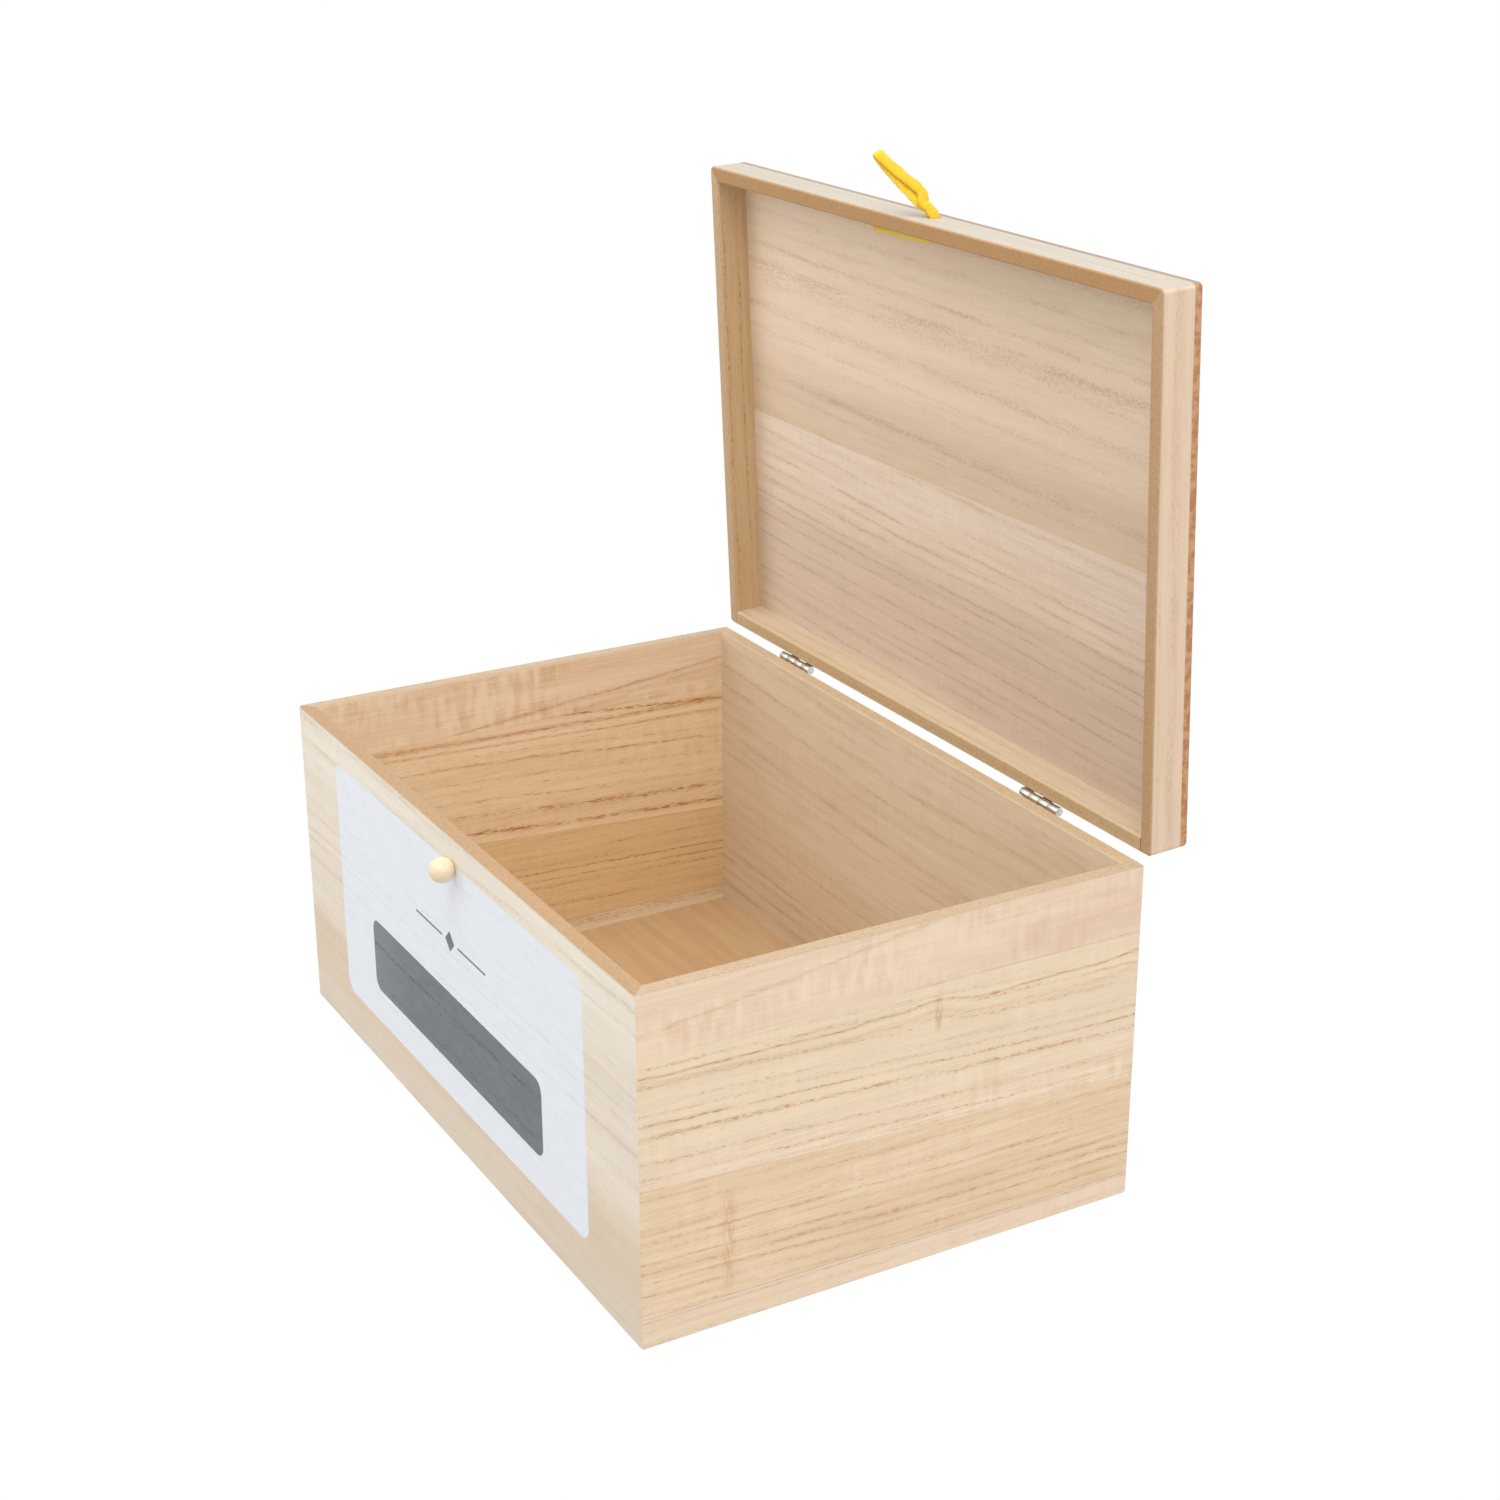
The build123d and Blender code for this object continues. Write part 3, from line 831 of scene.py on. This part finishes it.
# Copies on points become one mesh with one finish
def dressCopies(tree, copies, finish):
    whole = addNode(tree, "GeometryNodeRealizeInstances", {0: copies.outputs[0]})
    return addNode(tree, "GeometryNodeSetMaterial", {0: whole.outputs[0], "Material": finish}).outputs[0]


# Felt; lengths in mm
feltLook = {
    # warm and fresh colours are painted light and shade on one felt: each strand is coloured for how light
    # falls on it
    "warm": (250, 194, 52), "fresh": (240, 208, 56), "shade": (226, 160, 36),
    "patches": ((3.5, 3.5, 3.5), 2.0), "patchFade": (0.5, 0.75), "patchShare": (0.4, 0.1),
    "fluff": ((0.35, 0.35, 0.35), 4.0, 0.7), "fluffFade": (0.55, 0.8, 0.0, 0.3),
    "specular": 0.1, "roughness": 0.82, "fluffRoughness": 0.15, "sheen": 0.45, "sheenRoughness": 0.5,
    "relief": 0.15, "reliefStrength": 0.35,
    "fibreLength": 0.6, "fibreRadius": 0.03, "fibresPerSquareMm": 2.0,
    "fibreLean": 1.25, "fibreShortest": 0.35,     # radians, share of the length
    # the strip's oval rings: points in each, bluntness, then swell and lumps with their steps
    "sides": 14, "oval": 0.75, "swell": 0.16, "swellStep": 0.19,
    "lump": 0.12, "lumpStep": (0.35, 0.9), "lumpSeed": 4.0,
}


def feltMaterial(look):
    material, tree, shader = startMaterial("yellowFelt", look["specular"])
    place = objectPlace(tree)
    strand = addNode(tree, "ShaderNodeAttribute", attribute_name="strand").outputs["Fac"]
    patchy = spots(place, look["patches"], look["patchFade"])
    fluff = cloud(place, *look["fluff"])
    # Painted light and shade: the two strands get two colours of the one felt
    color = mixColor(strand, tint(*look["fresh"]), tint(*look["warm"]))
    shaded = times(patchy, timesPlus(strand, *look["patchShare"]))
    color = mixColor(shaded, color, tint(*look["shade"]))
    color = mixColor(fade(fluff, *look["fluffFade"]), color, tint(*look["shade"]))
    roughness = timesPlus(fluff, look["fluffRoughness"], look["roughness"])
    shader.inputs["Sheen Weight"].default_value = look["sheen"]
    shader.inputs["Sheen Roughness"].default_value = look["sheenRoughness"]
    dressShader(tree, shader, color, roughness, fluff, look)
    return material


def curveLine(name, points):
    curve = bpy.data.curves.new(name, "CURVE")
    curve.dimensions = "3D"
    curve.resolution_u = 8
    spline = curve.splines.new("NURBS")
    spline.points.add(len(points) - 1)
    for point, place in zip(spline.points, points):
        point.co = (*place, 1.0)
    spline.order_u = 3
    spline.use_endpoint_u = True
    holder = bpy.data.objects.new(name, curve)
    mesh = bpy.data.meshes.new_from_object(holder)
    line = [v.co.copy() for v in mesh.vertices]
    bpy.data.meshes.remove(mesh)
    bpy.data.objects.remove(holder)
    bpy.data.curves.remove(curve)
    return line


def blunt(value, power):
    return math.copysign(abs(value) ** power, value)


# A soft strip along a line: flat oval rings with lumps and a ragged width
def feltStrip(name, line, wide, look, seed):
    rings = []
    paintedLightShare = []
    last = len(line) - 1
    sides, oval = feltLook["sides"], feltLook["oval"]
    alongStep, roundStep = feltLook["lumpStep"]
    for i, centre in enumerate(line):
        ahead = (line[min(i + 1, last)] - line[max(i - 1, 0)]).normalized()
        wide = (wide - ahead * wide.dot(ahead)).normalized()
        thin = wide.cross(ahead)
        swell = 1 + feltLook["swell"] * noise.noise(Vector((i * feltLook["swellStep"], seed, 0.0)))
        ring = []
        for k in range(sides):
            angle = 2 * math.pi * k / sides
            spot = Vector((i * alongStep, k * roundStep, seed + feltLook["lumpSeed"]))
            lump = 1 + feltLook["lump"] * noise.noise(spot)
            side = blunt(math.cos(angle), oval) * look["width"] / 2 * swell
            face = blunt(math.sin(angle), oval) * look["thickness"] / 2 * lump
            ring.append(centre + mm * (side * lump * wide + face * thin))
        rings.append(ring)
        # painted light: how far along the strip the warmer colour takes over
        paintedLightShare.append(min(1.0, max(0.0, (i / last - look["paintedLightFrom"]) / look["paintedLightOver"])))
    mesh = ringsToMesh(name, rings, line[0], line[-1])
    strand = mesh.attributes.new("strand", "FLOAT", "POINT")
    values = [value for value in paintedLightShare for k in range(sides)]
    strand.data.foreach_set("value", values + [paintedLightShare[0], paintedLightShare[-1]])
    return mesh


# Loose fibres standing on the felt
def makeFibreTree(look):
    inputs = [("Felt", "geometry"), ("Density", "float"), ("Length", "float"), ("Radius", "float"),
              ("Seed", "int"), ("Finish", "material")]
    tree, given, made = startGroup("feltFibres", inputs, [("Fibres", "geometry")], "GeometryNodeTree")
    spread = addNode(tree, "GeometryNodeDistributePointsOnFaces", {
        "Mesh": given["Felt"], "Density": given["Density"], "Seed": given["Seed"],
    })
    fibre = addNode(tree, "GeometryNodeMeshCone", {
        "Vertices": 3, "Radius Top": 0.0, "Radius Bottom": given["Radius"], "Depth": given["Length"],
    }, fill_type="NONE")
    least, most = [[way * look["fibreLean"]] * 3 for way in (-1, 1)]
    lean = addNode(tree, "FunctionNodeRandomValue", {
        0: least, 1: most, "Seed": given["Seed"],
    }, data_type="FLOAT_VECTOR")
    tilted = addNode(tree, "FunctionNodeRotateRotation", {
        0: spread.outputs["Rotation"], 1: lean.outputs[0],
    }, rotation_space="LOCAL")
    size = addNode(tree, "FunctionNodeRandomValue", {
        2: look["fibreShortest"], 3: 1.0, "Seed": given["Seed"],
    }, data_type="FLOAT")
    placed = addNode(tree, "GeometryNodeInstanceOnPoints", {
        "Points": spread.outputs["Points"], "Instance": fibre.outputs["Mesh"],
        "Rotation": tilted.outputs[0], "Scale": size.outputs[1],
    })
    feed(made["Fibres"], dressCopies(tree, placed, given["Finish"]))
    return tree


felt = feltMaterial(feltLook)
fibreTree = makeFibreTree(feltLook)


def fibresOn(name, mesh, look, seed):
    values = {
        "Density": look["fibresPerSquareMm"] / mm ** 2, "Length": look["fibreLength"] * mm,
        "Radius": look["fibreRadius"] * mm, "Seed": seed, "Finish": felt,
    }
    return pieceFrom(name, runTree(fibreTree, mesh.copy(), values), felt)


# Free part of the loop: across the lid, out from the rail's front and towards the rim, in mm
loopLook = {
    "hole": (3.5, -202.0, 9.55),
    "route": (
        (-1.1, -6.0, 0.0), (-1.1, 0.6, 0.0), (-2.7, 2.8, 0.2), (-5.1, 4.9, 2.9), (-8.1, 8.7, 5.3),
        (-11.6, 13.0, 7.8), (-15.0, 17.2, 10.3), (-17.4, 20.4, 11.6), (-18.5, 22.1, 12.2),
        (-17.1, 22.8, 13.0), (-15.5, 20.9, 11.8), (-12.9, 17.9, 9.5), (-9.4, 14.1, 6.4), (-5.5, 10.3, 2.7),
        (-3.9, 7.9, 1.8), (-3.0, 5.3, 2.7), (-0.9, 3.2, 1.0), (1.1, 0.6, 0.0), (1.1, -6.0, 0.0),
    ),
    "length": 0.077,      # m, measured along the curve
    "width": 3.9, "thickness": 1.7, "lean": 0.55,
    "paintedLightFrom": 0.4, "paintedLightOver": 0.2,     # shares of the length: painted light and shade, the second strand takes the warmer colour
    "seed": 2.0, "fibreSeed": 5,
}


def loopPlace(across, out, droop):
    x, y, z = loopLook["hole"]
    return lidPoint(x + across, y - out, z - droop)


def makeLoop(look):
    line = curveLine("loopLine", [loopPlace(*place) for place in look["route"]])
    wide = lidUp + look["lean"] * lidAxes["x"]
    mesh = feltStrip("feltLoop", line, wide, look, look["seed"])
    loop = pieceFrom("feltLoop", mesh, felt)
    fibres = fibresOn("feltLoopFibres", mesh, feltLook, look["fibreSeed"])
    finishPiece(loop, "lid", "yellow_felt", "closure_loop")
    finishPiece(fibres, "lid", "yellow_felt")
    measured = sum((b - a).length for a, b in zip(line, line[1:]))
    print("felt loop length", round(measured, 4))


makeLoop(loopLook)

# Ends of the loop, glued side by side along the inside of the lid's front rail
tailLook = {
    "strips": (
        ((3.4, -196.6, 9.6), (2.6, -195.6, 10.6), (-0.8, -194.9, 12.2), (-8.0, -194.0, 12.45),
         (-22.0, -194.2, 12.45), (-36.0, -194.3, 12.45), (-45.6, -194.0, 12.45)),
        ((4.0, -196.6, 8.2), (3.0, -194.6, 9.2), (-1.5, -192.6, 11.6), (-8.0, -191.4, 12.2),
         (-20.0, -191.3, 12.2), (-33.0, -191.2, 12.2), (-42.0, -190.8, 12.2)),
    ),
    "width": 2.5, "thickness": 1.3,
    "paintedLightFrom": 1.0, "paintedLightOver": 0.2,     # painted light: the fresh colour all along, lifting the shadow the rail casts on the strips
    "seed": 7.0, "fibreSeed": 9,
}


def makeTail(look):
    whole = bmesh.new()
    for number, strip in enumerate(look["strips"]):
        line = curveLine("tailLine", [lidPoint(*place) for place in strip])
        mesh = feltStrip("tailStrip", line, lidAxes["x"], look, look["seed"] + number)
        whole.from_mesh(mesh)
        bpy.data.meshes.remove(mesh)
    mesh = bpy.data.meshes.new("feltTail")
    whole.to_mesh(mesh)
    whole.free()
    finishPiece(pieceFrom("feltTail", mesh, felt), "lid", "yellow_felt", "loop_tail")
    finishPiece(fibresOn("feltTailFibres", mesh, feltLook, look["fibreSeed"]), "lid", "yellow_felt")


makeTail(tailLook)
print("felt made")

# Turned ball knob; lengths in mm
knobLook = {
    "place": (6.5, -100.0, 120.2), "radius": 4.75, "reach": 4.3, "neck": 2.0, "root": -0.3,
    "around": 56, "steps": 40, "tipAngle": 0.1,
    "wood": {
        "seed": 1.3, "ringSpacing": 2.2, "ringSlope": 0.1, "ringWander": 0.8, "ringTilt": 0.5,
        "bandWidth": 0.8, "dashLength": 2.0, "dashWidth": 0.0,     # no width: dashes run right across
        "lineStrength": 0.22, "poreAmount": 0.2, "curl": 0.1,
        "pale": (240, 221, 192), "deep": (233, 210, 177), "line": (216, 184, 144),
    },
    "turning": ((0.22, 1, 1), 2.0),
    "specular": 0.2, "roughness": 0.5, "turnedRoughness": 0.15, "relief": 0.03, "reliefStrength": 0.3,
}


def knobMaterial(look):
    material, tree, shader = startMaterial("turnedKnob", look["specular"])
    axes = {**bodyAxes, "y": -bodyAxes["y"], "origin": Vector(look["place"]) * mm}
    place = boardSpot(tree, axes, "yzx")
    wood = look["wood"]
    grain = placeGrain(tree, place, wood, tint(*wood["pale"]), tint(*wood["deep"]))
    along = split(place)[0]
    turning = cloud(join(along, 0.0, 0.0), *look["turning"])
    roughness = timesPlus(turning, look["turnedRoughness"], look["roughness"])
    dressShader(tree, shader, grain["Color"], roughness, turning, look)
    return material


def makeKnob(look):
    radius, neck, steps, around = look["radius"], look["neck"], look["steps"], look["around"]
    start = math.asin(neck / radius)
    profile = [(neck, look["root"]), (neck, 0.0)]
    for i in range(steps + 1):
        angle = start + (math.pi - start - look["tipAngle"]) * i / steps
        profile.append((radius * math.sin(angle), look["reach"] - radius * math.cos(angle)))
    centre = Vector(look["place"])
    rings = []
    for size, out in profile:
        ring = []
        for k in range(around):
            angle = 2 * math.pi * k / around
            ring.append(mm * (centre + Vector((size * math.cos(angle), -out, size * math.sin(angle)))))
        rings.append(ring)
    ends = [mm * (centre + Vector((0, -out, 0))) for out in (profile[0][1], profile[-1][1])]
    mesh = ringsToMesh("turnedKnob", rings, *ends)
    finishPiece(pieceFrom("turnedKnob", mesh, knobMaterial(look)), "box", "knob_wood", "closure_knob")


makeKnob(knobLook)
print("knob turned")

# Plated hinges; lengths in mm, angles in degrees
nickelLook = {
    "bright": (216, 212, 205), "dull": (190, 182, 171),
    "brushed": ((9, 0.12, 0.12), 2.0), "cloudy": ((4, 3, 3), 3.0), "dullFade": (0.45, 0.8),
    "specular": 0.5, "roughness": 0.1, "dullRoughness": 0.08, "brushedRoughness": 0.06,
    "relief": 0.004, "reliefStrength": 0.15,
    "weld": 0.002, "edgeRound": 0.1, "edgeSteps": 2, "edgeAngle": 40, "sharpest": 35,
}


def nickelMaterial(look):
    material, tree, shader = startMaterial("nickelPlate", look["specular"])
    shader.inputs["Metallic"].default_value = 1.0
    place = objectPlace(tree)
    brushed = cloud(place, *look["brushed"])
    dullness = spots(place, look["cloudy"], look["dullFade"])
    color = mixColor(dullness, tint(*look["bright"]), tint(*look["dull"]))
    roughness = timesPlus(dullness, look["dullRoughness"], look["roughness"])
    roughness = timesPlus(brushed, look["brushedRoughness"], roughness)
    dressShader(tree, shader, color, roughness, brushed, look)
    return material


nickel = nickelMaterial(nickelLook)


def bevelledCopy(node, body, look):
    shape = bmesh.new()
    shape.from_mesh(nodes[node].data)
    bmesh.ops.remove_doubles(shape, verts=shape.verts, dist=look["weld"] * mm)
    mesh = bpy.data.meshes.new(node)
    shape.to_mesh(mesh)
    shape.free()
    holder = bpy.data.objects.new("bevelHolder", mesh)
    scene.collection.objects.link(holder)
    bevel = holder.modifiers.new("edge", "BEVEL")
    bevel.width = look["edgeRound"] * mm
    bevel.segments = look["edgeSteps"]
    bevel.limit_method = "ANGLE"
    bevel.angle_limit = math.radians(look["edgeAngle"])
    rounded = meshFrom(holder)
    shape = bmesh.new()
    shape.from_mesh(rounded)
    smoothMesh(shape, look["sharpest"])
    shape.to_mesh(rounded)
    shape.free()
    finishPiece(pieceFrom(camelName(node), rounded, nickel), body, "hinge_metal", node)


for side in ("left", "right"):
    bevelledCopy(f"hinge_body_leaf_{side}", "box", nickelLook)
    bevelledCopy(f"hinge_lid_leaf_{side}", "lid", nickelLook)
    bevelledCopy(f"hinge_pin_{side}", "box", nickelLook)

# Cross-head screws; lengths in mm, places from the hinge line
screwLook = {
    "sizes": {
        "headRadius": 1.77, "headDepth": 0.78, "shankRadius": 0.97, "shankLength": 4.2,
        "slotLength": 2.0, "slotWidth": 0.42, "slotDepth": 0.4,
    },
    "headCorners": 40, "shankCorners": 20, "spin": 1.5,
    "hinges": (-92.2, 85.2), "spacing": 8.0, "out": -1.2, "height": 7.0,
}


def makeScrewTree(look):
    inputs = [("Places", "geometry"), ("Axis", "vector"), ("Seed", "int"), ("Finish", "material")]
    inputs += [(labelOf(size), "float") for size in look["sizes"]]
    tree, given, made = startGroup("crossHeadScrews", inputs, [("Screws", "geometry")], "GeometryNodeTree")

    def lowered(part, height):
        return addNode(tree, "GeometryNodeTransform", {
            0: part.outputs["Mesh"], "Translation": join(0.0, 0.0, height),
        }).outputs[0]

    headFoot = times(given["Head Depth"], -1.0)
    shankFoot = sums("SUBTRACT", headFoot, given["Shank Length"])
    head = addNode(tree, "GeometryNodeMeshCone", {
        "Vertices": look["headCorners"], "Radius Top": given["Head Radius"],
        "Radius Bottom": given["Shank Radius"], "Depth": given["Head Depth"],
    })
    shank = addNode(tree, "GeometryNodeMeshCone", {
        "Vertices": look["shankCorners"], "Radius Top": given["Shank Radius"],
        "Radius Bottom": 0.0, "Depth": given["Shank Length"],
    })
    slots = addNode(tree, "GeometryNodeJoinGeometry")
    deep = times(given["Slot Depth"], 2.0)
    for size in ((given["Slot Length"], given["Slot Width"]), (given["Slot Width"], given["Slot Length"])):
        bar = addNode(tree, "GeometryNodeMeshCube", {"Size": join(*size, deep)})
        tree.links.new(bar.outputs["Mesh"], slots.inputs[0])
    cut = addNode(tree, "GeometryNodeMeshBoolean", {
        "Mesh 1": lowered(head, headFoot), "Mesh 2": slots.outputs[0],
    }, operation="DIFFERENCE", solver="EXACT")
    screw = addNode(tree, "GeometryNodeJoinGeometry")
    tree.links.new(cut.outputs["Mesh"], screw.inputs[0])
    tree.links.new(lowered(shank, shankFoot), screw.inputs[0])
    upright = addNode(tree, "FunctionNodeAlignRotationToVector", {"Vector": given["Axis"]}, axis="Z")
    spin = addNode(tree, "FunctionNodeRandomValue", {
        2: 0.0, 3: look["spin"], "Seed": given["Seed"],
    }, data_type="FLOAT")
    turned = addNode(tree, "FunctionNodeRotateRotation", {
        0: upright.outputs[0], 1: join(0.0, 0.0, spin.outputs[1]),
    }, rotation_space="LOCAL")
    placed = addNode(tree, "GeometryNodeInstanceOnPoints", {
        "Points": given["Places"], "Instance": screw.outputs[0], "Rotation": turned.outputs[0],
    })
    feed(made["Screws"], dressCopies(tree, placed, given["Finish"]))
    return tree


screwTree = makeScrewTree(screwLook)


def makeScrews(name, body, axes, height, node, seed):
    look = screwLook
    places = []
    for hinge in look["hinges"]:
        for offset in (-look["spacing"], look["spacing"]):
            spot = (hinge + offset) * axes["x"] + look["out"] * axes["y"] + height * axes["z"]
            places.append(lidOrigin + mm * spot)
    points = bpy.data.meshes.new(name)
    points.from_pydata(places, [], [])
    values = {labelOf(size): length * mm for size, length in look["sizes"].items()}
    values.update({"Axis": tuple(axes["y"]), "Seed": seed, "Finish": nickel})
    finishPiece(pieceFrom(name, runTree(screwTree, points, values), nickel), body, "hinge_metal", node)


makeScrews("bodyHingeScrews", "box", bodyAxes, -screwLook["height"], "body_hinge_screws", 3)
makeScrews("lidHingeScrews", "lid", lidAxes, screwLook["height"], "lid_hinge_screws", 8)
print("hinges and screws made")

# Studio: a white surround, brighter from below, and three soft lights
studioLook = {
    "below": 0.8, "surround": 0.6, "horizon": 0.2, "backdrop": 1.0,
    "aim": (0, 0, 0.15),
    "lights": {
        "frontLight": {"place": (-1.4, -1.6, 1.2), "size": 1.6, "power": 12.0},
        "rightLight": {"place": (2.0, 0.1, 1.1), "size": 1.6, "power": 11.0},
        "topLight": {"place": (0.3, -0.4, 2.2), "size": 1.8, "power": 38.0},
    },
}


def makeStudio(look):
    world = bpy.data.worlds.new("studioSurround")
    scene.world = world
    world.use_nodes = True
    tree = world.node_tree
    back = tree.nodes["Background"]
    back.inputs["Color"].default_value = (1, 1, 1, 1)
    height = split(addNode(tree, "ShaderNodeTexCoord").outputs["Generated"])[2]
    soft = fade(height, -look["horizon"], look["horizon"], look["below"], look["surround"])
    rays = addNode(tree, "ShaderNodeLightPath").outputs
    seen = sums("MAXIMUM", rays["Is Camera Ray"], rays["Is Glossy Ray"])
    feed(back.inputs["Strength"], fade(seen, 0.0, 1.0, soft, look["backdrop"]))
    for name, light in look["lights"].items():
        data = bpy.data.lights.new(name, "AREA")
        data.size = light["size"]
        data.energy = light["power"]
        lamp = bpy.data.objects.new(name, data)
        lamp.location = light["place"]
        aim = Vector(look["aim"]) - Vector(light["place"])
        lamp.rotation_euler = aim.to_track_quat("-Z", "Y").to_euler()
        scene.collection.objects.link(lamp)
    scene.view_settings.view_transform = "Standard"


makeStudio(studioLook)
print("studio lit")
